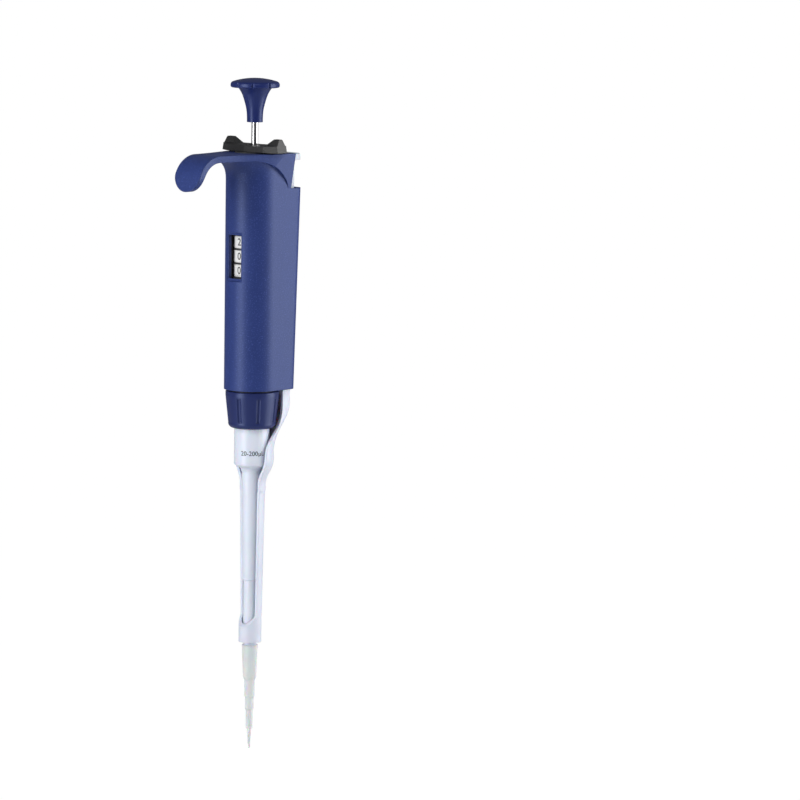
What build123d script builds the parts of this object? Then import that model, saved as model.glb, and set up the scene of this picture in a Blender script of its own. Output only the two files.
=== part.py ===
from build123d import *
import os
from math import cos, radians, sin

# Adjustable 20-200 microlitre air-displacement micropipette, in millimetres.
#
# The plunger axis is Z. Height zero is the flat underside of the finger hook, where the
# pipette hangs on a stand. The hook points along -Y, the tip ejector is on the +Y side,
# and the tip points down. The volume is set to its maximum, the plunger and the ejector
# are up, and a tip is on the cone.

# ---------------------------------------------------------------- driving dimensions

# Metering: a turn of the wing moves the stop nut by one pitch, and meters ten microlitres.
PITCH = 0.33                 # thread pitch of the drive sleeve
TURNS = 18                   # from 200 down to 20 microlitres
STROKE = 6.6                 # plunger stroke at 200 microlitres
BLOW_OUT = 2.0               # further stroke that empties the tip
SETTING_TRAVEL = PITCH * TURNS
PLUNGER_TRAVEL = SETTING_TRAVEL + STROKE + BLOW_OUT      # piston, from its top to its lowest place
EJECT_TRAVEL = 9.0           # ejector, down
RUN = 0.1                    # running clearance between turning or sliding pieces
SNUG = 0.06                  # clearance of a fine running fit

# Grip
GRIP_R = 12.4                # round front half of the grip
BACK_TOP = 18.3              # from the axis to the flat back, at the ejector bay
BACK_LOW = 15.2              # the same at the hem
RIDGE = 1.1                  # how far the crease stands out along the middle of the back
BACK_CORNER = 4.4
GRIP_WALL = 1.8
BACK_WALL = 1.3
HEM = -100.5
BAY_FLOOR = -3.6 - EJECT_TRAVEL      # bottom of the open bay behind the ejector button
DECK_TOP = 2.8
DECK_THICKNESS = 4.0

# Finger hook
HOOK_THICKNESS = DECK_TOP
HOOK_REACH = 28.5            # where the straight part of the hook ends
HOOK_BEND_R = 9.7            # inside radius of its bend
HOOK_BEND = 78               # degrees
HOOK_TONGUE = 5.8            # straight run after the bend
HOOK_HALF = 7.8              # half width of the tongue
TONGUE_ROUND = -4.6          # height of the centre of the tongue's round end
COLLAR_HALF = 15.4           # half width of the collar at the deck
NECK_REACH = 19.0            # how far the flare under the hook comes forward
NECK_TALL = 10.0

# Number window and drums
WINDOW_MID = -42.1
WINDOW_HALF = 4.3
WINDOW_TALL = 21.4
WINDOW_LIP = 1.0             # depth of the shallow frame round the window
WINDOW_SILL = 1.2            # height of that frame above and below the opening
DRUM_TALL = 5.5
DRUM_PITCH = 6.2
RIM_BEVEL = 0.25
SPACER_TALL = DRUM_PITCH - DRUM_TALL - 2 * RUN

# Chassis, the tube inside the grip that carries the mechanism
CHASSIS_R = 10.3
CHASSIS_WALL = 0.8
CHASSIS_BORE = CHASSIS_R - CHASSIS_WALL
BAY_FRONT = CHASSIS_R - 0.1  # front wall of the ejector bay
CHASSIS_BOTTOM = HEM + 4.5
DRUM_R = CHASSIS_BORE - 0.7

# Volume drive
WING_GAP = 0.1
BUSH_R = 7.2
BUSH_FLANGE_R = 8.6
BUSH_FLANGE = 0.4
WING_BOTTOM = DECK_TOP + BUSH_FLANGE + WING_GAP
WING_TALL = 3.2
EAR_TALL = 5.9
WING_HALF = 16.9             # half length over the ears, at the bottom
HUB_R = 6.0
HUB_BORE = 4.1
HUB_BOTTOM = -4.0
SLEEVE_BOTTOM = -66.0
SLEEVE_BORE = 4.3
LAND = 4.0                   # length of each end of the sleeve that guides the rod

# Plunger
ROD_R = 1.45
BUTTON_R = 10.66
BUTTON_BOTTOM = 16.0
STEM_TALL = 15.0
FLANGE_TALL = 4.1
STEM_R = 3.46
NOTCHES = 9
NOTCH_R = 0.7
NUT_TOP = -58.0
NUT_BOTTOM = -68.0
NUT_FLOOR = 1.5
NUT_R = CHASSIS_BORE - 0.6
KEY_WIDE = 3.0
KEY_TALL = 6.0
STOP_R = 3.2
STOP_TALL = 2.0
HEAD_TALL = 6.6
HEAD_FLANGE = 1.8
PISTON_R = 3.1               # 200 microlitres over the stroke
HEAD_R = PISTON_R + 1.3
HEAD_FLANGE_R = PISTON_R + 3.5
PISTON_BOTTOM = HEM - 16.5
PISTON_BEVEL = 0.6
PLATE_TOP = CHASSIS_BOTTOM - 1
PLATE_TALL = 1.2

# Lower end
COUPLING_R = CHASSIS_R - 0.35
COUPLING_BORE = CHASSIS_BORE - 0.8
COUPLING_BOTTOM = HEM - 7.7
PLATE_R = COUPLING_BORE - 0.3
COUPLING_PLUG = 4.0
RING_NUT_TOP = HEM - 0.7
RING_NUT_BOTTOM = RING_NUT_TOP - 16.3
RING_NUT_R = COUPLING_R + 1.75
RING_NUT_LOW_R = 10.4        # where its rounded bottom starts
RING_NUT_ROUND = 2.4
FLUTES = 8
FLUTE_START = -75.5          # direction of the first flute
SHAFT_FLANGE = 1.9
SHAFT_FLANGE_R = COUPLING_R - 0.15
BLOCK_R = 7.7
BLOCK_BOTTOM = HEM - 33.7
BARREL_TOP_R = PISTON_R + 1.15
BARREL_LOW_R = 3.5
BARREL_STEP = BLOCK_BOTTOM - 50.4
NOZZLE_R = 3.1
CONE_TOP = BARREL_STEP - 21.4
CONE_TOP_R = 2.95
CONE_END = CONE_TOP - 16.8
CONE_END_R = 2.6
AIR_R = 1.2
SEAL_BORE = PISTON_R + 1.9
SPRING_BORE = SEAL_BORE + 1.6
CHAMBER_END = 1.5            # height of the cone at the chamber's bottom
CHAMBER_BOTTOM = PISTON_BOTTOM - PLUNGER_TRAVEL + 0.9 * PISTON_BEVEL - CHAMBER_END
SPRING_SEAT = HEM - 2.8      # where the shaft's spigot starts inside the coupling
RETAINER_TOP = HEM - 8.5
RETAINER_LOW = RETAINER_TOP - 2
SEAL_FLOOR = RETAINER_LOW - 4.2
O_RING_WIRE = 0.85           # section radius of the O-ring

# Ejector
EJECT_FRONT = BAY_FRONT + 0.4
EJECT_HALF = 12.1
EJECT_BACK = 17.3
EJECT_TOP = 2.5
EJECT_FLANGE = 2.9
NECK_HALF = 9.2
NECK_BACK = 16.0
NECK_BOTTOM = -15.5
EJECT_ROD_Y = 13.3
EJECT_ROD_R = 1.0
LUG_TOP = -58.0
LUG_TALL = 4.0
LUG_R = 2.7
CLIP_TOP = -33.2
CLIP_R = 2.0
CLIP_TALL = 0.8
ARM_TOP = HEM - 0.5
ARM_WALL = 1.3
ARM_ROOF = 2.0
ARM_CLOSE = -2.5
SOCKET_R = 1.45
SOCKET_TOP = HEM + 5
COLLAR_RING_R = 5.0
COLLAR_RING_TOP = CONE_TOP + 5
COLLAR_RING_BOTTOM = COLLAR_RING_TOP - 11.4
RING_LIP = 1.2
RING_CUT = 5.8               # how far the ring's front slopes down
ARM_OPEN = -0.9              # depth of the arm's open front
SOCKET_DEEP = 0.8            # how far the ejector rod goes into the arm's roof

# Tip
TIP_GAP = 1.5                # from the ejector ring to the rim of the tip
TIP_RIM = COLLAR_RING_BOTTOM - TIP_GAP
TIP_END = CONE_END - 37.3
TIP_RIM_R = 3.5


# ---------------------------------------------------------------- helpers

def save(piece, name):
    """Label a finished piece and write it to its own STEP file."""
    piece.part.label = name
    export_step(piece.part, f"parts/{name}.step")


def turned(points):
    """A solid turned about the plunger axis from a list of (radius, height) points."""
    with BuildPart() as piece:
        with BuildSketch(Plane.XZ):
            with BuildLine():
                Polyline(*points, close=True)
            make_face()
        revolve(axis=Axis.Z)
    return piece


def tube(outer, inner, top, bottom):
    """A plain ring or tube about the plunger axis."""
    return turned([(inner, bottom), (outer, bottom), (outer, top), (inner, top)])


def coil(mean, wire, top, bottom, turns, y=0.0):
    """A compression spring about a vertical axis, its wire lying on both seats."""
    length = top - bottom - 2 * wire
    with BuildPart() as piece:
        with BuildLine() as path:
            Helix(pitch=length / turns, height=length, radius=mean, center=(0, y, bottom + wire))
        with BuildSketch(Plane(origin=path.line @ 0, z_dir=path.line % 0)):
            Circle(wire)
        sweep(path=path.line, is_frenet=True)
    return piece


def back_at(height):
    """Distance from the axis to the flat back of the grip at a height."""
    share = (height - HEM) / (BAY_FLOOR - HEM)
    return BACK_LOW + (BACK_TOP - BACK_LOW) * share


def grip_outline(radius, back, corner):
    """The grip's section: a half round at the front and a creased back."""
    with BuildSketch() as outline:
        with BuildLine():
            ThreePointArc((-radius, 0), (0, -radius), (radius, 0))
            Polyline((radius, 0), (radius, back), (0, back + RIDGE), (-radius, back), (-radius, 0))
        make_face()
        fillet([v for v in outline.vertices() if abs(v.Y - back) < 0.01], corner)
    return outline.sketch


os.makedirs("parts", exist_ok=True)


# ---------------------------------------------------------------- handle shell

def hook_profile():
    """Side view of the collar and hook, from the ejector bay to the end of the tongue."""
    bend_low = -HOOK_BEND_R
    outer = HOOK_BEND_R + HOOK_THICKNESS
    turn = radians(HOOK_BEND)
    outer_end = (-HOOK_REACH - outer * sin(turn), bend_low + outer * cos(turn))
    inner_end = (-HOOK_REACH - HOOK_BEND_R * sin(turn), bend_low + HOOK_BEND_R * cos(turn))
    run = (-HOOK_TONGUE * cos(turn), -HOOK_TONGUE * sin(turn))
    half = turn / 2
    outer_mid = (-HOOK_REACH - outer * sin(half), bend_low + outer * cos(half))
    inner_mid = (-HOOK_REACH - HOOK_BEND_R * sin(half), bend_low + HOOK_BEND_R * cos(half))
    outer_tip = (outer_end[0] + run[0], outer_end[1] + run[1])
    inner_tip = (inner_end[0] + run[0], inner_end[1] + run[1])
    with BuildSketch() as profile:
        with BuildLine():
            Line((BAY_FRONT, DECK_TOP), (-HOOK_REACH, DECK_TOP))
            ThreePointArc((-HOOK_REACH, DECK_TOP), outer_mid, outer_end)
            Polyline(outer_end, outer_tip, inner_tip, inner_end)
            ThreePointArc(inner_end, inner_mid, (-HOOK_REACH, 0))
            Line((-HOOK_REACH, 0), (-GRIP_R, 0))
            Spline((-GRIP_R, 0), (-2.1, -2.2), (4.9, -7.0), (8.6, BAY_FLOOR), tangents=((1, 0), (0.4, -1)))
            Polyline((8.6, BAY_FLOOR), (BAY_FRONT, BAY_FLOOR), (BAY_FRONT, DECK_TOP))
        make_face()
    return profile.sketch


def hook_plan():
    """Plan of the collar and hook, widest at the ejector bay."""
    end = -HOOK_REACH - HOOK_BEND_R - HOOK_THICKNESS - HOOK_TONGUE
    side = [(COLLAR_HALF, BAY_FRONT), (14.7, 1.0), (12.6, -8.0), (9.8, -18.5), (8.2, -29.0),
            (HOOK_HALF, -36.0)]
    with BuildSketch() as plan:
        with BuildLine():
            Spline(*side, tangents=((0, -1), (0, -1)))
            Polyline(side[-1], (HOOK_HALF, end), (0, end), (0, BAY_FRONT), side[0])
        make_face()
        mirror(about=Plane.YZ)
    return plan.sketch


with BuildPart() as hollow:
    for height in (HEM, BAY_FLOOR):
        with BuildSketch(Plane.XY.offset(height)):
            add(grip_outline(GRIP_R - GRIP_WALL, back_at(height) - BACK_WALL, BACK_CORNER - GRIP_WALL))
    loft(ruled=True)

with BuildPart() as collar:
    with BuildSketch(Plane.YZ):
        add(hook_profile())
    extrude(amount=COLLAR_HALF + 2, both=True)
    with BuildSketch(Plane.XY.offset(-30)):
        add(hook_plan())
    extrude(amount=40, mode=Mode.INTERSECT)
    # the sides of the collar lean in towards the grip
    with BuildSketch(Plane.XZ.offset(-BAY_FRONT - 1)):
        with BuildLine():
            Polyline((-GRIP_R, -30), (GRIP_R, -30), (GRIP_R, BAY_FLOOR), (COLLAR_HALF, DECK_TOP + 1),
                     (-COLLAR_HALF, DECK_TOP + 1), (-GRIP_R, BAY_FLOOR), close=True)
        make_face()
    extrude(amount=60, mode=Mode.INTERSECT)
    # the tongue ends in a half round
    with BuildSketch(Plane.XZ.offset(HOOK_REACH + 4)):
        with Locations((0, TONGUE_ROUND - 10)):
            Rectangle(2 * HOOK_HALF + 4, 20)
        with Locations((0, TONGUE_ROUND)):
            Circle(HOOK_HALF, mode=Mode.SUBTRACT)
    extrude(amount=20, mode=Mode.SUBTRACT)


def flare_outline(half, reach):
    """A half ellipse at the front of the grip, closed across the axis."""
    with BuildSketch() as outline:
        Ellipse(half, reach)
        with Locations((0, reach)):
            Rectangle(4 * half, 2 * reach, mode=Mode.SUBTRACT)
    return outline.sketch


with BuildPart() as flare:
    for share in (0, 0.4, 0.7, 0.9, 1):
        reach = GRIP_R + (NECK_REACH - GRIP_R) * share ** 3
        with BuildSketch(Plane.XY.offset(-NECK_TALL * (1 - share))):
            add(flare_outline(GRIP_R, reach))
    loft()

with BuildPart() as handle_shell:
    for height in (HEM, DECK_TOP):
        with BuildSketch(Plane.XY.offset(height)):
            add(grip_outline(GRIP_R, back_at(height), BACK_CORNER))
    loft(ruled=True)
    add(collar.part)
    add(flare.part)
    # open bay for the ejector button
    with BuildSketch(Plane.XY.offset(BAY_FLOOR)):
        with Locations((0, BAY_FRONT + 10)):
            Rectangle(4 * GRIP_R, 20)
    extrude(amount=DECK_TOP - BAY_FLOOR, mode=Mode.SUBTRACT)
    # the hollow grip, and the round bore above it that holds the chassis
    add(hollow.part, mode=Mode.SUBTRACT)
    with BuildSketch(Plane.XY.offset(BAY_FLOOR - 1)):
        Circle(CHASSIS_R + RUN)
    extrude(amount=DECK_TOP - DECK_THICKNESS - BAY_FLOOR + 1, mode=Mode.SUBTRACT)
    with BuildSketch(Plane.XY.offset(DECK_TOP)):
        Circle(BUSH_R)
    extrude(amount=-DECK_THICKNESS, mode=Mode.SUBTRACT)
    # number window: a shallow frame, then the opening
    with BuildSketch(Plane.XZ.offset(GRIP_R - WINDOW_LIP)):
        with Locations((0, WINDOW_MID)):
            Rectangle(2 * WINDOW_HALF, WINDOW_TALL)
    extrude(amount=2 * WINDOW_LIP, mode=Mode.SUBTRACT)
    with BuildSketch(Plane.XZ.offset(GRIP_R / 2)):
        with Locations((0, WINDOW_MID)):
            Rectangle(2 * WINDOW_HALF - WINDOW_LIP, WINDOW_TALL - 2 * WINDOW_SILL)
    extrude(amount=GRIP_R, mode=Mode.SUBTRACT)
save(handle_shell, "handle_shell")


# ---------------------------------------------------------------- volume drive

top_bushing = turned([(HUB_R + RUN / 2, DECK_TOP - DECK_THICKNESS), (BUSH_R, DECK_TOP - DECK_THICKNESS),
                      (BUSH_R, DECK_TOP), (BUSH_FLANGE_R, DECK_TOP), (BUSH_FLANGE_R, DECK_TOP + BUSH_FLANGE),
                      (HUB_R + RUN / 2, DECK_TOP + BUSH_FLANGE)])
save(top_bushing, "top_bushing")

with BuildPart() as volume_wing:
    # side view: a bar with an upright ear at each end, its outer faces leaning in
    with BuildSketch(Plane.XZ):
        with BuildLine():
            Polyline((0, 0), (WING_HALF, 0), (15.8, EAR_TALL), (12.8, EAR_TALL), (9.3, WING_TALL),
                     (0, WING_TALL), close=True)
        make_face()
        mirror(about=Plane.YZ)
    extrude(amount=HUB_R + 2, both=True)
    # plan: wide over the hub, narrow at the ears, with draft on every side
    with BuildSketch():
        with BuildLine():
            Polyline((WING_HALF, 0), (WING_HALF, 2.9), (11.0, 5.9), (0, HUB_R + 0.7))
            Line((0, HUB_R + 0.7), (0, 0))
            Line((0, 0), (WING_HALF, 0))
        make_face()
        mirror(about=Plane.XZ)
        mirror(about=Plane.YZ)
    extrude(amount=EAR_TALL, taper=5, mode=Mode.INTERSECT)
    # end view: the ears narrow towards their tops
    with BuildSketch(Plane.YZ):
        with BuildLine():
            Polyline((0, 0), (HUB_R + 1, 0), (HUB_R + 1, WING_TALL - 0.6), (2.4, WING_TALL), (1.0, EAR_TALL),
                     (0, EAR_TALL), close=True)
        make_face()
        mirror(about=Plane.YZ)
    extrude(amount=WING_HALF + 1, both=True, mode=Mode.INTERSECT)
    fillet(volume_wing.edges().filter_by(Axis.Z, reverse=True).group_by(Axis.Z)[-1], 0.35)
    with BuildSketch():
        Circle(HUB_R)
    extrude(amount=HUB_BOTTOM - WING_BOTTOM)
    with BuildSketch(Plane.XY.offset(WING_TALL)):
        Circle(HUB_BORE)
    extrude(amount=HUB_BOTTOM - WING_BOTTOM - WING_TALL, mode=Mode.SUBTRACT)
volume_wing.part.locate(Location((0, 0, WING_BOTTOM)))
save(volume_wing, "volume_wing")

hub_clip_top = DECK_TOP - DECK_THICKNESS - RUN
hub_clip = tube(HUB_R + 1.7, HUB_R, hub_clip_top, hub_clip_top - 0.8)
save(hub_clip, "hub_clip")

rod_guide = ROD_R + SNUG
sleeve_spigot = HUB_BOTTOM + 3.5
drive_sleeve = turned([(rod_guide, sleeve_spigot), (HUB_BORE, sleeve_spigot), (HUB_BORE, HUB_BOTTOM),
                       (HUB_R, HUB_BOTTOM), (HUB_R, SLEEVE_BOTTOM), (rod_guide, SLEEVE_BOTTOM),
                       (rod_guide, SLEEVE_BOTTOM + LAND), (SLEEVE_BORE, SLEEVE_BOTTOM + LAND),
                       (SLEEVE_BORE, HUB_BOTTOM - 1), (rod_guide, HUB_BOTTOM - 1)])
save(drive_sleeve, "drive_sleeve")


def drum(bore, middle):
    """A number drum, a ring with a small bevel round each rim."""
    low = middle - DRUM_TALL / 2
    top = middle + DRUM_TALL / 2
    rim = DRUM_R - RIM_BEVEL
    return turned([(bore, low), (rim, low), (DRUM_R, low + RIM_BEVEL), (DRUM_R, top - RIM_BEVEL), (rim, top),
                   (bore, top)])


drum_middles = {"hundreds_drum": WINDOW_MID + DRUM_PITCH, "tens_drum": WINDOW_MID,
                "units_drum": WINDOW_MID - DRUM_PITCH}
for drum_name, drum_middle in drum_middles.items():
    # the units drum is pressed on the sleeve, and the other two run on it
    drum_bore = HUB_R if drum_name == "units_drum" else HUB_R + SNUG
    save(drum(drum_bore, drum_middle), drum_name)

with BuildPart() as drum_spacers:
    for step in (-1.5, -0.5, 0.5, 1.5):
        with BuildSketch(Plane.XY.offset(WINDOW_MID + step * DRUM_PITCH - SPACER_TALL / 2)):
            Circle(CHASSIS_BORE - SNUG)
            Circle(HUB_R + SNUG, mode=Mode.SUBTRACT)
        extrude(amount=SPACER_TALL)
save(drum_spacers, "drum_spacers")


# ---------------------------------------------------------------- chassis

with BuildPart() as chassis:
    chassis_top = DECK_TOP - DECK_THICKNESS
    with BuildSketch(Plane.XY.offset(CHASSIS_BOTTOM)):
        Circle(CHASSIS_R)
    extrude(amount=chassis_top - CHASSIS_BOTTOM)
    # lug that guides the ejector rod
    with BuildSketch(Plane.XY.offset(LUG_TOP)):
        with Locations((0, EJECT_ROD_Y / 2)):
            Rectangle(2 * LUG_R, EJECT_ROD_Y)
        with Locations((0, EJECT_ROD_Y)):
            Circle(LUG_R)
        with Locations((0, EJECT_ROD_Y)):
            Circle(EJECT_ROD_R + 0.9, mode=Mode.SUBTRACT)
    extrude(amount=-LUG_TALL)
    with BuildSketch(Plane.XY.offset(CHASSIS_BOTTOM)):
        Circle(CHASSIS_BORE)
    extrude(amount=chassis_top - CHASSIS_BOTTOM, mode=Mode.SUBTRACT)
    # number window
    with BuildSketch(Plane.XZ.offset(CHASSIS_R / 2)):
        with Locations((0, WINDOW_MID)):
            Rectangle(2 * WINDOW_HALF + 0.8, WINDOW_TALL + 0.4)
    extrude(amount=CHASSIS_R, mode=Mode.SUBTRACT)
    # slots for the keys of the stop nut
    slot_top = NUT_TOP + 1
    slot_bottom = NUT_TOP - 2 - KEY_TALL - SETTING_TRAVEL - 1
    with BuildSketch(Plane.YZ.offset(-CHASSIS_R - 1)):
        with Locations((0, (slot_top + slot_bottom) / 2)):
            Rectangle(KEY_WIDE + 2 * RUN, slot_top - slot_bottom)
    extrude(amount=2 * CHASSIS_R + 2, mode=Mode.SUBTRACT)
save(chassis, "chassis")

with BuildPart() as stop_nut:
    with BuildSketch(Plane.XY.offset(NUT_BOTTOM)):
        Circle(NUT_R)
    extrude(amount=NUT_TOP - NUT_BOTTOM)
    with BuildSketch(Plane.XY.offset(NUT_TOP - 2)):
        Rectangle(2 * (CHASSIS_R - RUN), KEY_WIDE)
    extrude(amount=-KEY_TALL)
    with BuildSketch(Plane.XY.offset(NUT_TOP)):
        Circle(HUB_R + RUN)
    extrude(amount=NUT_BOTTOM + NUT_FLOOR - NUT_TOP, mode=Mode.SUBTRACT)
    with BuildSketch(Plane.XY.offset(NUT_TOP)):
        Circle(rod_guide)
    extrude(amount=NUT_BOTTOM - NUT_TOP, mode=Mode.SUBTRACT)
save(stop_nut, "stop_nut")


# ---------------------------------------------------------------- plunger

with BuildPart() as push_button:
    flange_low = BUTTON_BOTTOM + STEM_TALL
    button_top = flange_low + FLANGE_TALL
    rim_mid = flange_low + 1.3
    with BuildSketch(Plane.XZ):
        with BuildLine():
            Polyline((0, button_top), (0, BUTTON_BOTTOM), (STEM_R, BUTTON_BOTTOM))
            Spline((STEM_R, BUTTON_BOTTOM), (3.8, BUTTON_BOTTOM + 5.7), (4.7, BUTTON_BOTTOM + 9.3),
                   (6.0, BUTTON_BOTTOM + 12.8), (7.4, flange_low), tangents=((0, 1), (0.6, 1)))
            Line((7.4, flange_low), (BUTTON_R - 0.6, flange_low))
            Spline((BUTTON_R - 0.6, flange_low), (BUTTON_R, rim_mid), (BUTTON_R - 1.3, flange_low + 2.7),
                   tangents=((1, 0.3), (-1, 0.3)))
            Spline((BUTTON_R - 1.3, flange_low + 2.7), (0, button_top), tangents=((-1, 0.3), (-1, 0)))
        make_face()
    revolve(axis=Axis.Z)
    # finger notches round the rim
    with BuildSketch(Plane.XY.offset(flange_low - 1)):
        with PolarLocations(BUTTON_R + NOTCH_R * 0.35, NOTCHES, start_angle=-90):
            Circle(NOTCH_R)
    extrude(amount=FLANGE_TALL + 2, mode=Mode.SUBTRACT)
    with BuildSketch(Plane.XY.offset(BUTTON_BOTTOM)):
        Circle(ROD_R)
    extrude(amount=STEM_TALL, mode=Mode.SUBTRACT)
save(push_button, "push_button")

rod_top = BUTTON_BOTTOM + STEM_TALL
stop_top = NUT_BOTTOM - 0.05
head_top = stop_top - STOP_TALL - 0.55
rod_end = head_top - 1.4
control_rod = tube(ROD_R, 0, rod_top, rod_end)
save(control_rod, "control_rod")

stop_collar = tube(STOP_R, ROD_R, stop_top, stop_top - STOP_TALL)
save(stop_collar, "stop_collar")

head_bottom = head_top - HEAD_TALL
piston_top = head_bottom + 3.2
piston_head = turned([(0, rod_end - 0.1), (ROD_R + RUN, rod_end - 0.1), (ROD_R + RUN, head_top),
                      (HEAD_R, head_top), (HEAD_R, head_bottom + HEAD_FLANGE),
                      (HEAD_FLANGE_R, head_bottom + HEAD_FLANGE), (HEAD_FLANGE_R, head_bottom),
                      (PISTON_R, head_bottom), (PISTON_R, piston_top), (0, piston_top)])
save(piston_head, "piston_head")

piston = turned([(0, piston_top), (PISTON_R, piston_top), (PISTON_R, PISTON_BOTTOM + PISTON_BEVEL),
                 (PISTON_R - PISTON_BEVEL, PISTON_BOTTOM), (0, PISTON_BOTTOM)])
save(piston, "piston")

piston_spring = coil(PISTON_R + 2.1, 0.35, head_bottom, PLATE_TOP, 7)
save(piston_spring, "piston_spring")

blow_out_plate = tube(PLATE_R, PISTON_R + 0.3, PLATE_TOP, PLATE_TOP - PLATE_TALL)
save(blow_out_plate, "blow_out_plate")


# ---------------------------------------------------------------- lower end

lower_coupling = turned([(COUPLING_BORE, COUPLING_BOTTOM), (COUPLING_R, COUPLING_BOTTOM),
                         (COUPLING_R, CHASSIS_BOTTOM), (CHASSIS_BORE - SNUG, CHASSIS_BOTTOM),
                         (CHASSIS_BORE - SNUG, CHASSIS_BOTTOM + COUPLING_PLUG),
                         (COUPLING_BORE, CHASSIS_BOTTOM + COUPLING_PLUG)])
save(lower_coupling, "lower_coupling")

shaft_flange_top = COUPLING_BOTTOM - RUN
shaft_flange_low = shaft_flange_top - SHAFT_FLANGE

with BuildPart() as flute:
    # one finger flute, leaning in with the side of the nut
    with BuildSketch(Plane(origin=(RING_NUT_R + 0.55, 0, RING_NUT_TOP - 3), z_dir=(-0.108, 0, -1))):
        Circle(1.2)
    extrude(amount=10.5)

with BuildPart() as connecting_nut:
    nut_shoulder = shaft_flange_low - RUN
    nut_low = (RING_NUT_LOW_R, RING_NUT_BOTTOM + RING_NUT_ROUND)
    nut_foot = (RING_NUT_LOW_R - 1.7, RING_NUT_BOTTOM)
    with BuildSketch(Plane.XZ):
        with BuildLine():
            Polyline((BLOCK_R + 0.15, RING_NUT_BOTTOM), (BLOCK_R + 0.15, nut_shoulder),
                     (COUPLING_R + RUN, nut_shoulder), (COUPLING_R + RUN, RING_NUT_TOP),
                     (RING_NUT_R - 0.3, RING_NUT_TOP), (RING_NUT_R, RING_NUT_TOP - 0.3),
                     (RING_NUT_R, RING_NUT_TOP - 2), nut_low)
            ThreePointArc(nut_low, (nut_foot[0] + 1.2, nut_foot[1] + 0.7), nut_foot)
            Line(nut_foot, (BLOCK_R + 0.15, RING_NUT_BOTTOM))
        make_face()
    revolve(axis=Axis.Z)
    # finger flutes, leaving a plain band at the top
    with PolarLocations(0, FLUTES, start_angle=FLUTE_START):
        add(flute.part, mode=Mode.SUBTRACT)
save(connecting_nut, "connecting_nut")

chamber_r = PISTON_R + 0.2
with BuildPart() as shaft:
    with BuildSketch(Plane.XZ):
        with BuildLine():
            Polyline((AIR_R, CONE_END), (CONE_END_R, CONE_END), (CONE_TOP_R, CONE_TOP),
                     (NOZZLE_R, CONE_TOP + 1), (NOZZLE_R, BARREL_STEP - 0.6), (BARREL_LOW_R, BARREL_STEP),
                     (BARREL_TOP_R, BLOCK_BOTTOM - 2.8), (BARREL_TOP_R + 0.6, BLOCK_BOTTOM - 1.2),
                     (BLOCK_R - 0.7, BLOCK_BOTTOM), (BLOCK_R, BLOCK_BOTTOM + 0.7),
                     (BLOCK_R, shaft_flange_low), (SHAFT_FLANGE_R, shaft_flange_low),
                     (SHAFT_FLANGE_R, shaft_flange_top),
                     (COUPLING_BORE - RUN, shaft_flange_top), (COUPLING_BORE - RUN, SPRING_SEAT),
                     (SPRING_BORE, SPRING_SEAT), (SPRING_BORE, RETAINER_LOW), (SEAL_BORE, RETAINER_LOW),
                     (SEAL_BORE, SEAL_FLOOR), (chamber_r, SEAL_FLOOR),
                     (chamber_r, CHAMBER_BOTTOM + CHAMBER_END),
                     (AIR_R, CHAMBER_BOTTOM), close=True)
        make_face()
    revolve(axis=Axis.Z)
save(shaft, "shaft")

seal_retainer = tube(SPRING_BORE - RUN, chamber_r, RETAINER_TOP, RETAINER_LOW)
save(seal_retainer, "seal_retainer")

with BuildPart() as o_ring:
    with BuildSketch(Plane.XZ):
        with Locations(((PISTON_R + SEAL_BORE) / 2, RETAINER_LOW - O_RING_WIRE - 0.05)):
            Circle(O_RING_WIRE)
    revolve(axis=Axis.Z)
save(o_ring, "o_ring")

seal_top = RETAINER_LOW - 2 * O_RING_WIRE - 0.1
piston_seal = tube(SEAL_BORE - 0.05, PISTON_R + 0.05, seal_top, SEAL_FLOOR)
save(piston_seal, "piston_seal")

blow_out_spring = coil(SPRING_BORE - 1.0, 0.5, PLATE_TOP - PLATE_TALL, RETAINER_TOP, 5)
save(blow_out_spring, "blow_out_spring")


# ---------------------------------------------------------------- ejector

def creased_block(half, back, corner):
    """Plan of the ejector button: flat towards the grip, creased like the grip's back."""
    with BuildSketch() as outline:
        with BuildLine():
            Polyline((-half, EJECT_FRONT), (half, EJECT_FRONT), (half, back), (0, back + RIDGE - 0.1),
                     (-half, back), close=True)
        make_face()
        fillet([v for v in outline.vertices() if abs(v.Y - back) < 0.01], corner)
    return outline.sketch


with BuildPart() as ejector_button:
    with BuildSketch(Plane.XY.offset(EJECT_TOP - EJECT_FLANGE)):
        add(creased_block(EJECT_HALF, EJECT_BACK, 2.5))
    extrude(amount=EJECT_FLANGE)
    with BuildSketch(Plane.XY.offset(NECK_BOTTOM)):
        add(creased_block(NECK_HALF, NECK_BACK, 1.5))
    extrude(amount=EJECT_TOP - EJECT_FLANGE - NECK_BOTTOM)
    fillet(ejector_button.faces().sort_by(Axis.Z)[-1].edges(), 0.7)
    eject_rod_top = NECK_BOTTOM + 6.5
    with BuildSketch(Plane.XY.offset(NECK_BOTTOM)):
        with Locations((0, EJECT_ROD_Y)):
            Circle(EJECT_ROD_R)
    extrude(amount=eject_rod_top - NECK_BOTTOM, mode=Mode.SUBTRACT)
save(ejector_button, "ejector_button")

eject_rod_end = ARM_TOP - SOCKET_DEEP
with BuildPart() as ejector_rod:
    with BuildSketch(Plane.XY.offset(eject_rod_end)):
        with Locations((0, EJECT_ROD_Y)):
            Circle(EJECT_ROD_R)
    extrude(amount=eject_rod_top - eject_rod_end)
save(ejector_rod, "ejector_rod")

with BuildPart() as rod_bushing:
    with BuildSketch(Plane.XY.offset(LUG_TOP - LUG_TALL)):
        with Locations((0, EJECT_ROD_Y)):
            Circle(EJECT_ROD_R + 0.9)
            Circle(EJECT_ROD_R + SNUG, mode=Mode.SUBTRACT)
    extrude(amount=LUG_TALL)
save(rod_bushing, "rod_bushing")

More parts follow.
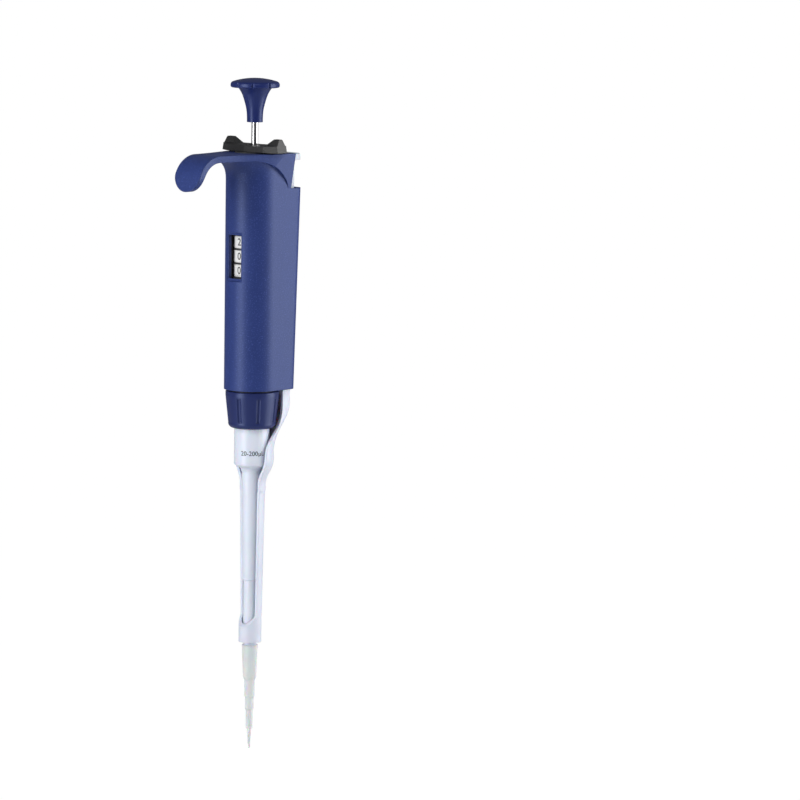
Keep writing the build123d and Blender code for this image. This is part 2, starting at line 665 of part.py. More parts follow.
with BuildPart() as rod_clip:
    with BuildSketch(Plane.XY.offset(CLIP_TOP - CLIP_TALL)):
        with Locations((0, EJECT_ROD_Y)):
            Circle(CLIP_R)
            Circle(EJECT_ROD_R, mode=Mode.SUBTRACT)
    extrude(amount=CLIP_TALL)
save(rod_clip, "rod_clip")

ejector_spring = coil(1.6, 0.28, CLIP_TOP - CLIP_TALL, LUG_TOP, 12, y=EJECT_ROD_Y)
save(ejector_spring, "ejector_spring")


def arm_section(half, back, corner, wall=0.0):
    """Plan of the ejector arm's form, round-cornered behind and closed in front of the axis."""
    with BuildSketch() as outline:
        with BuildLine():
            Polyline((wall - half, ARM_CLOSE), (half - wall, ARM_CLOSE), (half - wall, back - wall),
                     (wall - half, back - wall), close=True)
        make_face()
        fillet([v for v in outline.vertices() if v.Y > 0], corner - wall)
    return outline.sketch


# depth below the arm's top, half width, back and corner radius
arm_sections = [(0, 9.3, 15.6, 2.0), (6.5, 9.3, 15.5, 2.6), (11.5, 9.4, 14.7, 4.2), (16, 9.5, 12.6, 6.4),
                (20.5, 9.5, 10.7, 8.2), (25.5, 9.5, 9.6, 9.2), (31.5, 9.5, 9.5, 9.2), (34.5, 8.6, 8.7, 8.3),
                (37.5, 7.1, 7.2, 6.8), (41, 6.2, 6.2, 5.9), (45, 5.9, 5.9, 5.6)]
arm_shape = [(ARM_TOP - drop, half, back, corner) for drop, half, back, corner in arm_sections]
arm_foot = (COLLAR_RING_TOP, COLLAR_RING_R, COLLAR_RING_R, COLLAR_RING_R - 0.15)

# front edge of the arm's sides, as depth from the axis and depth below the arm's top
arm_front = [(depth, ARM_TOP - drop) for depth, drop in [(9.6, 5), (8.9, 11.5), (6.9, 16), (3.6, 20.5),
                                                         (0.6, 25), (-0.4, 30), (-0.9, 36), (-1.0, 42)]]


def arm_loft(wall):
    """The arm's outer form, or with a wall its hollow, which has no roof."""
    shape = list(arm_shape)
    if wall:
        shape[0] = (ARM_TOP - ARM_ROOF,) + shape[0][1:]
    with BuildPart() as form:
        for height, half, back, corner in shape:
            with BuildSketch(Plane.XY.offset(height)):
                add(arm_section(half, back, corner, wall))
        loft()
        for height, half, back, corner in (shape[-1], arm_foot):
            with BuildSketch(Plane.XY.offset(height)):
                add(arm_section(half, back, corner, wall))
        loft(ruled=True)
    return form


with BuildPart() as ejector_arm:
    add(arm_loft(0).part)
    add(arm_loft(ARM_WALL).part, mode=Mode.SUBTRACT)
    # open front
    with BuildSketch(Plane.YZ):
        with BuildLine():
            Line((9.6, ARM_TOP + 1), arm_front[0])
            Spline(*arm_front, tangents=((0, -1), (0, -1)))
            Polyline(arm_front[-1], (ARM_OPEN, COLLAR_RING_TOP), (ARM_OPEN, COLLAR_RING_TOP - 1),
                     (-BLOCK_R, COLLAR_RING_TOP - 1), (-BLOCK_R, ARM_TOP + 1), (9.6, ARM_TOP + 1))
        make_face()
    extrude(amount=2 * BLOCK_R, both=True, mode=Mode.SUBTRACT)
    with BuildSketch(Plane.XY.offset(ARM_TOP)):
        Circle(RING_NUT_R + 0.3)
    extrude(amount=-ARM_ROOF, mode=Mode.SUBTRACT)
    # socket that grips the ejector rod
    with BuildSketch(Plane.XY.offset(ARM_TOP)):
        with Locations((0, EJECT_ROD_Y)):
            Circle(SOCKET_R)
    extrude(amount=SOCKET_TOP - ARM_TOP)
    with BuildSketch(Plane.XY.offset(SOCKET_TOP)):
        with Locations((0, EJECT_ROD_Y)):
            Circle(EJECT_ROD_R)
    extrude(amount=eject_rod_end - SOCKET_TOP, mode=Mode.SUBTRACT)
    # ring at the foot, cut back in front, with a lip that pushes on the tip
    ring_bore = COLLAR_RING_R - ARM_WALL
    with BuildSketch(Plane.XY.offset(COLLAR_RING_BOTTOM)):
        Circle(COLLAR_RING_R)
        Circle(CONE_TOP_R + RUN, mode=Mode.SUBTRACT)
    extrude(amount=RING_LIP)
    with BuildSketch(Plane.XY.offset(COLLAR_RING_BOTTOM + RING_LIP)):
        Circle(COLLAR_RING_R)
        Circle(ring_bore, mode=Mode.SUBTRACT)
    extrude(amount=COLLAR_RING_TOP - COLLAR_RING_BOTTOM - RING_LIP)
    with BuildSketch(Plane.YZ):
        with BuildLine():
            Polyline((-COLLAR_RING_R - 1, COLLAR_RING_TOP - RING_CUT), (ARM_OPEN, COLLAR_RING_TOP),
                     (ARM_OPEN, COLLAR_RING_TOP + 1), (-COLLAR_RING_R - 1, COLLAR_RING_TOP + 1), close=True)
        make_face()
    extrude(amount=COLLAR_RING_R + 1, both=True, mode=Mode.SUBTRACT)
save(ejector_arm, "ejector_arm")


# ---------------------------------------------------------------- tip

def cone_radius(height):
    """Radius of the shaft's tip cone at a height."""
    return CONE_TOP_R + (CONE_END_R - CONE_TOP_R) * (CONE_TOP - height) / (CONE_TOP - CONE_END)


# outside of the tip and its bore, as radius and depth below the end of the cone
tip_steps = [(3.2, -0.2), (2.95, 5.4), (2.3, 7), (2.25, 14), (1.95, 14.5), (1.9, 19.8), (1.55, 20.4), (1.5, 28.2),
             (0.95, 28.8)]
bore_steps = [(0.55, 29.1), (1.0, 28.2), (1.1, 20.7), (1.45, 19.8), (1.5, 14.6), (1.8, 13.8), (1.85, 7.2),
              (2.45, 5.2), (2.55, 1.5)]
tip_outside = [(TIP_RIM_R, TIP_RIM)] + [(r, CONE_END - drop) for r, drop in tip_steps] + [(0.45, TIP_END)]
tip_bore = [(0.25, TIP_END)] + [(r, CONE_END - drop) for r, drop in bore_steps]
tip_socket = [(cone_radius(CONE_END) + SNUG, CONE_END), (cone_radius(TIP_RIM) + SNUG, TIP_RIM)]
tip = turned(tip_outside + tip_bore + tip_socket)
save(tip, "tip")
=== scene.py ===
# %% [markdown]
# An adjustable micropipette is a hand tool that draws up and gives out a set volume of liquid.
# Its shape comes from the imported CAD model, which this scene loads as a fixed frame. What is
# made here is what a drawing leaves out: the finish of every moulding, the printed digits and
# capacity marks, softened edges, the studio and the camera.

# %% Load the frame
import math

import bpy
from mathutils import Matrix, Vector


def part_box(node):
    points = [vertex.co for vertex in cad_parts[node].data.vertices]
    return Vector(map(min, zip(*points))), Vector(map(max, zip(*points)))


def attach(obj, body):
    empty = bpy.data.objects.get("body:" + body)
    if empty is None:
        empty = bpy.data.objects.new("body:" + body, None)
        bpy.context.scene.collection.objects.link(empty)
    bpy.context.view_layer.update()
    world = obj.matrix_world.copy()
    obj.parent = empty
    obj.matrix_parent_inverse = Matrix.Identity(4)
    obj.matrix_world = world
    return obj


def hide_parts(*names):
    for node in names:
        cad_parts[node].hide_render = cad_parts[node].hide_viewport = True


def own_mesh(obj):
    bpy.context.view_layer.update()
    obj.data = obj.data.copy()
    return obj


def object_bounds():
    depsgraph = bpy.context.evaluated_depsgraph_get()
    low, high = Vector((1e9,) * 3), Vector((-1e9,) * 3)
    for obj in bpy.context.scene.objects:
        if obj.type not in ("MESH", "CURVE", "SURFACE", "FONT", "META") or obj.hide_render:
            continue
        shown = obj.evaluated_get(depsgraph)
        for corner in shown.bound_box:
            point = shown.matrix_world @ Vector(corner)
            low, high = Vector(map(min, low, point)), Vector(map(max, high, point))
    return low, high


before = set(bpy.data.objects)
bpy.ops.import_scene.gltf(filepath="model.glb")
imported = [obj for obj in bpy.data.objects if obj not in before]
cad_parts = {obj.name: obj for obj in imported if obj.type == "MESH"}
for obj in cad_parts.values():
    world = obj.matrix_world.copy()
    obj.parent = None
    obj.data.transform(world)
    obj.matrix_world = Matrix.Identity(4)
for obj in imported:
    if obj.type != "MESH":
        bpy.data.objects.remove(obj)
bpy.ops.object.select_all(action="DESELECT")
cad_low, cad_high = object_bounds()
MM = 0.001
print("CAD box in mm", [round(side / MM, 1) for side in cad_high - cad_low])

# %% [markdown]
# Shader maths reads best as ordinary arithmetic. A small class wraps a node's output socket, so
# that adding or multiplying two of them adds the Math node that does it. One method makes any
# other node from its type, its settings and the values or links of its inputs.

# %% Sockets as numbers


class Signal:
    """A shader output that can be used in Python arithmetic."""

    def __init__(self, finish, socket):
        self.finish = finish
        self.socket = socket

    def math(self, operation, *others):
        return self.finish.node("ShaderNodeMath", {"operation": operation}, dict(enumerate((self, *others))))

    def __add__(self, other):
        return self.math("ADD", other)

    def __mul__(self, other):
        return self.math("MULTIPLY", other)

    def __sub__(self, other):
        return self.math("SUBTRACT", other)

    def between(self, low, high):
        """0 below low, 1 above high and straight between them."""
        settings = {"clamp": True}
        return self.finish.node("ShaderNodeMapRange", settings, {0: self, 1: low, 2: high})


class Finish:
    """A material of the pipette, built round one Principled shader."""

    def __init__(self, name, **values):
        self.material = bpy.data.materials.new(name)
        self.material.use_nodes = True
        self.tree = self.material.node_tree
        self.surface = self.tree.nodes["Principled BSDF"]
        for socket, value in values.items():
            self.surface.inputs[socket.replace("_", " ")].default_value = value

    def node(self, kind, settings=None, inputs=None, output=0):
        made = self.tree.nodes.new(kind)
        for key, value in (settings or {}).items():
            setattr(made, key, value)
        for key, value in (inputs or {}).items():
            if isinstance(value, Signal):
                self.tree.links.new(value.socket, made.inputs[key])
            else:
                made.inputs[key].default_value = value
        return Signal(self, made.outputs[output])

    def place(self, *scale):
        """Object coordinates, multiplied by a scale for each axis."""
        where = self.node("ShaderNodeTexCoord", output="Object")
        return self.node("ShaderNodeMapping", {}, {"Vector": where, "Scale": scale})

    def noise(self, where, scale, detail=2.0):
        return self.node("ShaderNodeTexNoise", {}, {"Vector": where, "Scale": scale, "Detail": detail})

    def blend(self, share, first, second):
        """A colour between two colours, which may themselves be signals."""
        return self.node("ShaderNodeMix", {"data_type": "RGBA"}, {0: share, 6: first, 7: second}, output=2)

    def feed(self, **signals):
        for socket, signal in signals.items():
            self.tree.links.new(signal.socket, self.surface.inputs[socket.replace("_", " ")])

    def relief(self, height, strength, depth, edge):
        """Bump from a height signal, over edges rounded by a small radius."""
        soft = self.node("ShaderNodeBevel", {"samples": 6}, {"Radius": edge})
        bump = {"Strength": strength, "Distance": depth, "Height": height, "Normal": soft}
        self.feed(Normal=self.node("ShaderNodeBump", {}, bump))


# %% [markdown]
# The grip, the connecting nut and the push button are moulded in a navy plastic. The mould of
# the grip is eroded by sparks, which leaves a fine even grain that breaks the reflections up; its
# sparkle is painted glints, lighter spots put into its colour. The nut and the button come from a
# smoother mould. The same recipe serves all of them, with more or less grain: a fine noise drives
# the bump, a second one varies the gloss, and a third, much larger, drifts the colour by a few
# percent, as pigment does.

# %% Moulded plastic


def moulded(name, colour, gloss, grain, grain_size, edge=0.5 * MM, drift=0.05, painted_glints=0.0, **values):
    """A moulded plastic: colour, roughness, depth of the grain and its size in metres.

    The edge is the radius of softened edges, the drift how far the colour wanders, and the
    painted glints how much of the grain is painted lighter, as a painted highlight."""
    finish = Finish(name, Roughness=gloss, **values)
    where = finish.place(1, 1, 1)
    fine = finish.noise(where, 1 / grain_size, detail=3.0)
    broad = finish.noise(where, 45.0, detail=2.0)
    dark = [channel * (1 - drift) for channel in colour]
    light = [min(1.0, channel * (1 + drift)) for channel in colour]
    drift_and_glints = finish.blend(broad.between(0.3, 0.7), (*dark, 1), (*light, 1))
    # Painted glints: a fine noise lightens spots of the colour, a painted highlight for the sparkle of the
    # grain.
    if painted_glints:
        glint_mask = finish.noise(where, 1 / (grain_size * 1.3), detail=1.0).between(0.58, 0.72) * painted_glints
        bright = [min(1.0, channel * 1.9 + 0.02) for channel in colour]
        drift_and_glints = finish.blend(glint_mask, drift_and_glints, (*bright, 1))
    finish.feed(Base_Color=drift_and_glints, Roughness=(fine - 0.5) * 0.12 + (broad - 0.5) * 0.06 + gloss)
    finish.relief(fine, 1.0, grain, edge)
    return finish


NAVY = (0.024, 0.043, 0.178)
BLUE_SHEEN = (0.55, 0.66, 1.0, 1)
# The grip carries painted glints, lighter spots in its colour that stand in for sparkle.
grip_navy = moulded("grip_navy", NAVY, 0.42, 0.045 * MM, 0.34 * MM, painted_glints=0.6,
                    Specular_Tint=BLUE_SHEEN)
button_navy = moulded("button_navy", (0.014, 0.024, 0.128), 0.34, 0.008 * MM, 0.30 * MM, edge=0.35 * MM,
                      Specular_Tint=BLUE_SHEEN)
nut_navy = moulded("nut_navy", (0.018, 0.027, 0.115), 0.32, 0.010 * MM, 0.30 * MM, edge=0.3 * MM,
                   Specular_Tint=BLUE_SHEEN)
print("navy mouldings made:", grip_navy.material.name, button_navy.material.name, nut_navy.material.name)

# %% [markdown]
# The wing that sets the volume is black and a little coarser, because gloved fingers turn it.
# The ejector button is a pale blue-grey, and the ejector arm and the shaft are a bluish white
# plastic that stands heat and lets a little light in, so they get a short subsurface distance.

# %% Wing, ejector and shaft plastics
wing_black = moulded("wing_black", (0.020, 0.020, 0.021), 0.42, 0.022 * MM, 0.30 * MM, edge=0.4 * MM,
                     drift=0.10)
ejector_grey = moulded("ejector_grey", (0.66, 0.72, 0.80), 0.38, 0.008 * MM, 0.30 * MM, edge=0.5 * MM,
                       Subsurface_Weight=0.15, Subsurface_Scale=0.8 * MM)
shaft_white = moulded("shaft_white", (0.76, 0.81, 0.93), 0.30, 0.004 * MM, 0.35 * MM, edge=0.35 * MM,
                      drift=0.02, Subsurface_Weight=0.25, Subsurface_Scale=1.0 * MM)
arm_white = moulded("arm_white", (0.74, 0.78, 0.90), 0.32, 0.005 * MM, 0.35 * MM, edge=0.35 * MM,
                    drift=0.02, Subsurface_Weight=0.25, Subsurface_Scale=1.0 * MM)

# %% [markdown]
# The tip is thin clear polypropylene, which is milky rather than glassy. Its wall is real in
# the frame, so what is behind it shows faintly through it, most of all the shaft's cone. Light
# also spreads inside the wall, and faint flow lines run down it.

# %% Tip plastic
tip_milky = Finish("tip_milky", Base_Color=(0.95, 0.95, 0.97, 1), Roughness=0.34, IOR=1.42, Alpha=0.64,
                   Subsurface_Weight=0.6, Subsurface_Scale=1.5 * MM)
flow = tip_milky.noise(tip_milky.place(1, 1, 0.12), 1400.0, detail=2.0)
tip_milky.feed(Roughness=flow * 0.16 + 0.20)
tip_milky.relief(flow, 0.15, 0.004 * MM, 0.1 * MM)

# %% [markdown]
# The metal parts are the polished control rod, the ejector rod, springs and clips. A ground rod
# has very fine rings round it from the wheel, so its noise is squeezed along Z. Drawn spring
# wire is duller. The brass sleeve and the white ceramic piston are inside, and show in the
# model when it is taken apart.

# %% Metals and inner materials


def metal(name, colour, gloss, rings, depth):
    """A bare metal with fine rings round the plunger axis."""
    finish = Finish(name, Metallic=1.0, Roughness=gloss)
    lathe = finish.noise(finish.place(1, 1, rings), 90.0, detail=3.0)
    dull = [channel * 0.9 for channel in colour]
    finish.feed(Base_Color=finish.blend(lathe.between(0.35, 0.65), (*dull, 1), (*colour, 1)),
                Roughness=lathe * 0.10 + (gloss - 0.05))
    finish.relief(lathe, 0.4, depth, 0.05 * MM)
    return finish


rod_steel = metal("rod_steel", (0.80, 0.80, 0.81), 0.14, 60.0, 0.002 * MM)
spring_steel = metal("spring_steel", (0.62, 0.62, 0.64), 0.28, 20.0, 0.002 * MM)
sleeve_brass = metal("sleeve_brass", (0.78, 0.60, 0.28), 0.26, 60.0, 0.004 * MM)
piston_ceramic = moulded("piston_ceramic", (0.88, 0.88, 0.86), 0.16, 0.001 * MM, 0.2 * MM, drift=0.01)
guide_acetal = moulded("guide_acetal", (0.82, 0.80, 0.73), 0.40, 0.004 * MM, 0.3 * MM, drift=0.03)
# Frame grey is the dark plastic of the inner frame; on the top bushing it is painted shade, for the shadow
# under the wing.
frame_grey_and_painted_shade = moulded("frame_grey_and_painted_shade", (0.045, 0.045, 0.05), 0.50, 0.015 * MM, 0.3 * MM, drift=0.10)
drum_white = moulded("drum_white", (0.86, 0.86, 0.85), 0.45, 0.004 * MM, 0.2 * MM, edge=0.15 * MM, drift=0.02)
seal_rubber = moulded("seal_rubber", (0.018, 0.018, 0.018), 0.62, 0.010 * MM, 0.15 * MM, drift=0.12)
ink = Finish("print_ink", Base_Color=(0.012, 0.013, 0.018, 1), Roughness=0.45)
ink_grain = ink.noise(ink.place(1, 1, 1), 9000.0)
ink.feed(Roughness=ink_grain * 0.2 + 0.35)

# %% [markdown]
# Each node of the frame keeps its shape and takes one of these finishes in its own material
# slots. The table below pairs them, and the print at the end shows that none is left over.

# %% Finish every node
finish_of = {
    grip_navy: ["handle_shell"],
    button_navy: ["push_button"],
    nut_navy: ["connecting_nut"],
    wing_black: ["volume_wing"],
    ejector_grey: ["ejector_button"],
    arm_white: ["ejector_arm"],
    shaft_white: ["shaft"],
    tip_milky: ["tip"],
    rod_steel: ["control_rod", "ejector_rod"],
    spring_steel: ["piston_spring", "blow_out_spring", "ejector_spring", "hub_clip", "rod_clip",
                   "stop_collar", "blow_out_plate"],
    sleeve_brass: ["drive_sleeve"],
    piston_ceramic: ["piston"],
    guide_acetal: ["stop_nut", "piston_head", "seal_retainer", "piston_seal", "rod_bushing"],
    # The top bushing takes the dark frame grey as painted shade, where the wing shades it.
    frame_grey_and_painted_shade: ["top_bushing", "chassis", "lower_coupling", "drum_spacers"],
    drum_white: ["hundreds_drum", "tens_drum", "units_drum"],
    seal_rubber: ["o_ring"],
}
finished = set()
for finish, names in finish_of.items():
    for name in names:
        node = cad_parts[name]
        if not node.material_slots:
            node.data.materials.append(finish.material)
        for slot in node.material_slots:
            slot.material = finish.material
        finished.add(name)
print("nodes without a finish:", sorted(set(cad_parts) - finished))

# %% [markdown]
# The volume is read on three number drums. Real drums are pad-printed with the ten digits, one
# every 36 degrees, so that another digit comes up as a drum turns. Each digit starts as a text
# object, becomes a mesh, is cut into narrow strips so that it can bend, and is then wrapped on
# its drum, a hair proud of the surface.

# %% Print that wraps on a round surface
INK_PROUD = 0.02 * MM
STRIP = 0.25 * MM
CAPITAL_SHARE = 0.7              # height of a capital in the font's size
BOLDER = 0.012                   # how far the outline of a letter swells, for its height


def printed(name, words, tall):
    """Flat lettering as a mesh in the XZ plane, centred on the origin and cut into strips."""
    bpy.ops.object.text_add(location=(0, 0, 0))
    text = bpy.context.object
    text.data.body = words
    text.data.size = tall / CAPITAL_SHARE
    text.data.align_x = "CENTER"
    text.data.align_y = "CENTER"
    text.data.resolution_u = 6
    text.data.offset = BOLDER * tall
    bpy.ops.object.convert(target="MESH")
    piece = bpy.context.object
    piece.name = name
    bpy.ops.object.mode_set(mode="EDIT")
    bpy.ops.mesh.select_all(action="SELECT")
    bpy.ops.mesh.remove_doubles(threshold=0.001 * MM)
    half = max(abs(vertex.co.x) for vertex in piece.data.vertices)
    cuts = int(2 * half / STRIP)
    for index in range(1, cuts):
        bpy.ops.mesh.select_all(action="SELECT")
        bpy.ops.mesh.bisect(plane_co=(2 * half * index / cuts - half, 0, 0), plane_no=(1, 0, 0))
    bpy.ops.mesh.select_all(action="SELECT")
    bpy.ops.mesh.quads_convert_to_tris()
    bpy.ops.object.mode_set(mode="OBJECT")
    piece.data.transform(Matrix.Rotation(math.radians(90), 4, "X"))
    piece.data.materials.clear()
    piece.data.materials.append(ink.material)
    return piece


def wrapped(piece, radius, angle, height):
    """Bend flat lettering round the plunger axis, to face out at an angle from the front."""
    for vertex in piece.data.vertices:
        turn = vertex.co.x / radius + angle
        vertex.co = (radius * math.sin(turn), -radius * math.cos(turn), vertex.co.z + height)
    piece.data.update()
    return piece


def joined(pieces, name):
    """One object from several, with its own mesh."""
    bpy.ops.object.select_all(action="DESELECT")
    for piece in pieces:
        piece.select_set(True)
    bpy.context.view_layer.objects.active = pieces[0]
    bpy.ops.object.join()
    whole = bpy.context.object
    whole.name = name
    bpy.ops.object.select_all(action="DESELECT")
    return whole


# %% Digits on the drums
DIGIT_TALL = 3.1 * MM
DIGIT_STEP = math.radians(36)
shown = {"hundreds_drum": 2, "tens_drum": 0, "units_drum": 0}
body_of_drum = {"hundreds_drum": "hundreds", "tens_drum": "tens", "units_drum": "volume_drive"}
for drum, digit_shown in shown.items():
    low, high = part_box(drum)
    drum_radius = high.x + INK_PROUD
    digits = []
    for digit in range(10):
        lettering = printed(f"digit_{digit}", str(digit), DIGIT_TALL)
        angle = (digit_shown - digit) * DIGIT_STEP
        digits.append(wrapped(lettering, drum_radius, angle, (low.z + high.z) / 2))
    ring = joined(digits, drum.replace("drum", "digits"))
    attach(ring, body_of_drum[drum])
    print(ring.name, "polygons", len(ring.data.polygons))

# %% [markdown]
# The lowest drum also has a fine scale along its bottom edge, for reading between two digits.
# One tick is a thin upright plate, and a new one is made for each of its places round the drum.

# %% Fine scale on the units drum
TICKS = 50
TICK_WIDE = 0.16 * MM
TICK_TALL = 0.6 * MM
FIFTH_TICK_TALL = 1.0 * MM
TICK_START = 0.3 * MM            # above the drum's lower rim
low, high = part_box("units_drum")
ticks = []
for index in range(TICKS):
    tall = FIFTH_TICK_TALL if index % 5 == 0 else TICK_TALL
    bpy.ops.mesh.primitive_plane_add(size=1, location=(0, 0, 0))
    tick = bpy.context.object
    bpy.ops.object.mode_set(mode="EDIT")
    bpy.ops.mesh.subdivide(number_cuts=1)
    bpy.ops.object.mode_set(mode="OBJECT")
    tick.data.transform(Matrix.Diagonal((TICK_WIDE, tall, 1, 1)))
    tick.data.transform(Matrix.Rotation(math.radians(90), 4, "X"))
    tick.data.materials.append(ink.material)
    ticks.append(wrapped(tick, high.x + INK_PROUD, index * math.tau / TICKS,
                         low.z + TICK_START + tall / 2))
scale_marks = joined(ticks, "units_scale")
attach(scale_marks, "volume_drive")

# %% [markdown]
# Two capacity marks tell a user which pipette this is. The range is printed on the block of the
# shaft, on the side that the camera sees, and the largest volume on the back of the ejector arm, just
# under the grip. Both are pad-printed in dark ink, so they are made as the digits are. The back
# of the arm is nearly flat there, so its mark stays flat.

# %% Capacity marks
VIEW_TURN = 45.0                 # direction of the camera round the pipette, from the front
BLOCK_RADIUS = 7.7 * MM
RANGE_TALL = 1.95 * MM
RANGE_ANGLE = math.radians(VIEW_TURN + 3)
RANGE_HEIGHT = -128.3 * MM
LARGEST_TALL = 2.3 * MM
LARGEST_PLACE = (0, 15.6 * MM + INK_PROUD, -105.6 * MM)
range_mark = wrapped(printed("range_mark", "20-200µL", RANGE_TALL), BLOCK_RADIUS + INK_PROUD,
                     RANGE_ANGLE, RANGE_HEIGHT)
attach(range_mark, "handle")

largest_mark = printed("largest_mark", "200", LARGEST_TALL)
largest_mark.data.transform(Matrix.Rotation(math.pi, 4, "Z"))
largest_mark.data.transform(Matrix.Translation(LARGEST_PLACE))
largest_mark.data.update()
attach(largest_mark, "ejector")

# %% [markdown]
# The springs in the frame are rigid, and a real spring shortens as its seat comes down. A copy of
# the piston spring and of the ejector spring stands for each here, with a mesh of its own, and rides
# on a body. The piston spring is pressed by two joints, the setting of the volume and the plunger,
# so its copy is cut in two: the lower part rides on the handle, and the upper part on the stop
# nut's body.

# %% Spring copies


def spring_copy(node, name, low, high):
    """A copy of a frame spring, from one height to another."""
    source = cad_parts[node]
    mesh = source.data.copy()
    mesh.transform(source.matrix_world)
    piece = bpy.data.objects.new(name, mesh)
    bpy.context.collection.objects.link(piece)
    bpy.ops.object.select_all(action="DESELECT")
    piece.select_set(True)
    bpy.context.view_layer.objects.active = piece
    bpy.ops.object.mode_set(mode="EDIT")
    for height, clear in ((low, {"clear_inner": True}), (high, {"clear_outer": True})):
        bpy.ops.mesh.select_all(action="SELECT")
        bpy.ops.mesh.bisect(plane_co=(0, 0, height), plane_no=(0, 0, 1), use_fill=True, **clear)
    bpy.ops.object.mode_set(mode="OBJECT")
    return piece


def shorten(piece, body):
    """Ride on a body, with a mesh of its own."""
    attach(piece, body)
    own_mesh(piece)


LOWER_SHARE = 0.42               # of the piston spring's length
low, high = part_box("piston_spring")
middle = low.z + LOWER_SHARE * (high.z - low.z)
lower_coils = spring_copy("piston_spring", "piston_spring_lower", low.z, middle)
upper_coils = spring_copy("piston_spring", "piston_spring_upper", middle, high.z)
shorten(lower_coils, "handle")
shorten(upper_coils, "stop")
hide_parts("piston_spring")

low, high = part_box("ejector_spring")
ejector_coils = spring_copy("ejector_spring", "ejector_coils", low.z, high.z)
shorten(ejector_coils, "handle")
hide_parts("ejector_spring")

# %% [markdown]
# The studio is white on every side. Two tall soft lamps stand well to the left and right of the
# camera, with a weak one above, and nothing lights the object from the camera itself. That leaves
# a bright band down each side of the grip and a darker one between them, which shows how round it
# is. The floor lies below the tip, because the pipette hangs on its stand by the hook. The camera
# sees the floor and the world as white, and the floor still takes a faint shadow.

# %% Studio
FLOOR_DROP = 40 * MM             # below the tip
FLOOR_WIDE = 40                  # metres, so that its far edge is on the horizon
FLOOR_WHITE = 0.98               # share of the floor's colour that the camera sees as plain white
FLOOR_GLOW = 1.02
WORLD_LIGHT = 0.14
LAMP_AIM = Vector((0, 0, -0.08))


def add_floor():
    """A wide pale floor under the tip."""
    bpy.ops.mesh.primitive_plane_add(size=FLOOR_WIDE, location=(0, 0, cad_low.z - FLOOR_DROP))
    floor = bpy.context.object
    floor.name = "floor"
    floor.data.materials.append(bpy.data.materials.new("floor_white"))
    material = floor.data.materials[0]
    material.use_nodes = True
    tree = material.node_tree
    tree.nodes["Principled BSDF"].inputs["Base Color"].default_value = (0.8, 0.8, 0.8, 1)
    tree.nodes["Principled BSDF"].inputs["Roughness"].default_value = 0.9
    glow = tree.nodes.new("ShaderNodeEmission")
    glow.inputs["Strength"].default_value = FLOOR_GLOW
    mix = tree.nodes.new("ShaderNodeMixShader")
    rays = tree.nodes.new("ShaderNodeLightPath")
    share = tree.nodes.new("ShaderNodeMath")
    share.operation = "MULTIPLY"
    share.inputs[1].default_value = FLOOR_WHITE
    tree.links.new(rays.outputs["Is Camera Ray"], share.inputs[0])
    tree.links.new(share.outputs[0], mix.inputs[0])
    tree.links.new(tree.nodes["Principled BSDF"].outputs[0], mix.inputs[1])
    tree.links.new(glow.outputs[0], mix.inputs[2])
    tree.links.new(mix.outputs[0], tree.nodes["Material Output"].inputs["Surface"])
    return floor


def add_world():
    """A soft grey light from all round, which camera and transmitted rays see as white."""
    world = bpy.data.worlds.new("studio_air")
    world.use_nodes = True
    bpy.context.scene.world = world
    tree = world.node_tree
    soft = tree.nodes["Background"]
    soft.inputs["Color"].default_value = (0.96, 0.97, 1.0, 1)
    soft.inputs["Strength"].default_value = WORLD_LIGHT
    white = tree.nodes.new("ShaderNodeBackground")
    white.inputs["Color"].default_value = (1, 1, 1, 1)
    mix = tree.nodes.new("ShaderNodeMixShader")
    rays = tree.nodes.new("ShaderNodeLightPath")
    seen = tree.nodes.new("ShaderNodeMath")
    seen.operation = "MAXIMUM"
    tree.links.new(rays.outputs["Is Camera Ray"], seen.inputs[0])
    tree.links.new(rays.outputs["Is Transmission Ray"], seen.inputs[1])
    tree.links.new(seen.outputs[0], mix.inputs[0])
    tree.links.new(soft.outputs[0], mix.inputs[1])
    tree.links.new(white.outputs[0], mix.inputs[2])
    tree.links.new(mix.outputs[0], tree.nodes["World Output"].inputs["Surface"])


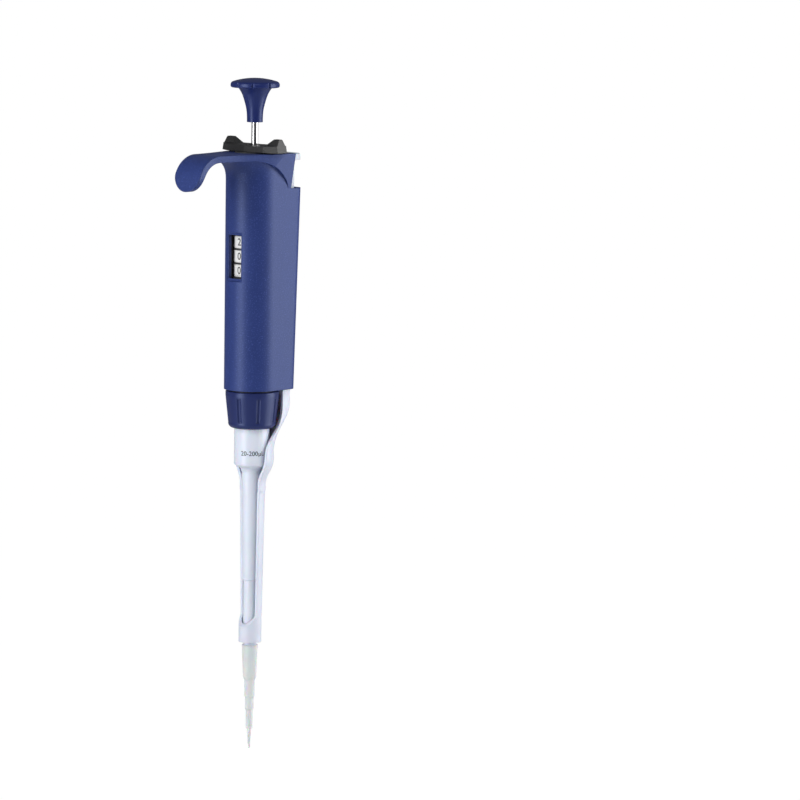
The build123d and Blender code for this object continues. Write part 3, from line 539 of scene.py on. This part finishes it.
def soft_lamp(name, turn, distance, height, wide, tall, watts):
    """A tall soft box that faces the grip, at an angle round it from the camera."""
    angle = math.radians(VIEW_TURN + turn)
    place = Vector((math.sin(angle) * distance, -math.cos(angle) * distance, height))
    bpy.ops.object.light_add(type="AREA", location=place)
    lamp = bpy.context.object
    lamp.name = name
    lamp.data.shape = "RECTANGLE"
    lamp.data.size = wide
    lamp.data.size_y = tall
    lamp.data.energy = watts
    aim = LAMP_AIM - place
    lamp.rotation_euler = aim.to_track_quat("-Z", "Y").to_euler()
    return lamp


add_floor()
add_world()
soft_lamp("left_box", turn=-52, distance=0.60, height=0.02, wide=0.26, tall=0.85, watts=3.8)
soft_lamp("right_box", turn=88, distance=0.60, height=0.02, wide=0.42, tall=0.85, watts=4.4)
soft_lamp("top_box", turn=10, distance=0.75, height=0.80, wide=0.50, tall=0.50, watts=1.4)

# %% [markdown]
# The camera looks at the pipette from its front left quarter, from a little above the button, at
# two metres, with a long lens so that the long body keeps its proportions. The pipette
# stands left of the middle of the picture and leans by about a degree.

# %% Camera
CAMERA_AWAY = 2000 * MM
CAMERA_HIGH = 150 * MM
LENS = 207.6
LEAN = 0.785                     # degrees
AIM_RIGHT = 64.6 * MM
AIM_HIGH = -104.9 * MM
turn = math.radians(VIEW_TURN)
place = Vector((math.sin(turn) * CAMERA_AWAY, -math.cos(turn) * CAMERA_AWAY, CAMERA_HIGH))
aim = Vector((math.cos(turn) * AIM_RIGHT, math.sin(turn) * AIM_RIGHT, AIM_HIGH))
bpy.ops.object.camera_add(location=place)
camera = bpy.context.object
camera.data.lens = LENS              # millimetres, as is the sensor
camera.data.sensor_width = 36.0
look = (aim - place).to_track_quat("-Z", "Y").to_matrix().to_4x4()
camera.matrix_world = Matrix.Translation(place) @ look @ Matrix.Rotation(math.radians(LEAN), 4, "Z")
camera.data.clip_start = 0.05
bpy.context.scene.camera = camera
bpy.context.scene.view_settings.view_transform = "Standard"
bpy.ops.object.select_all(action="DESELECT")
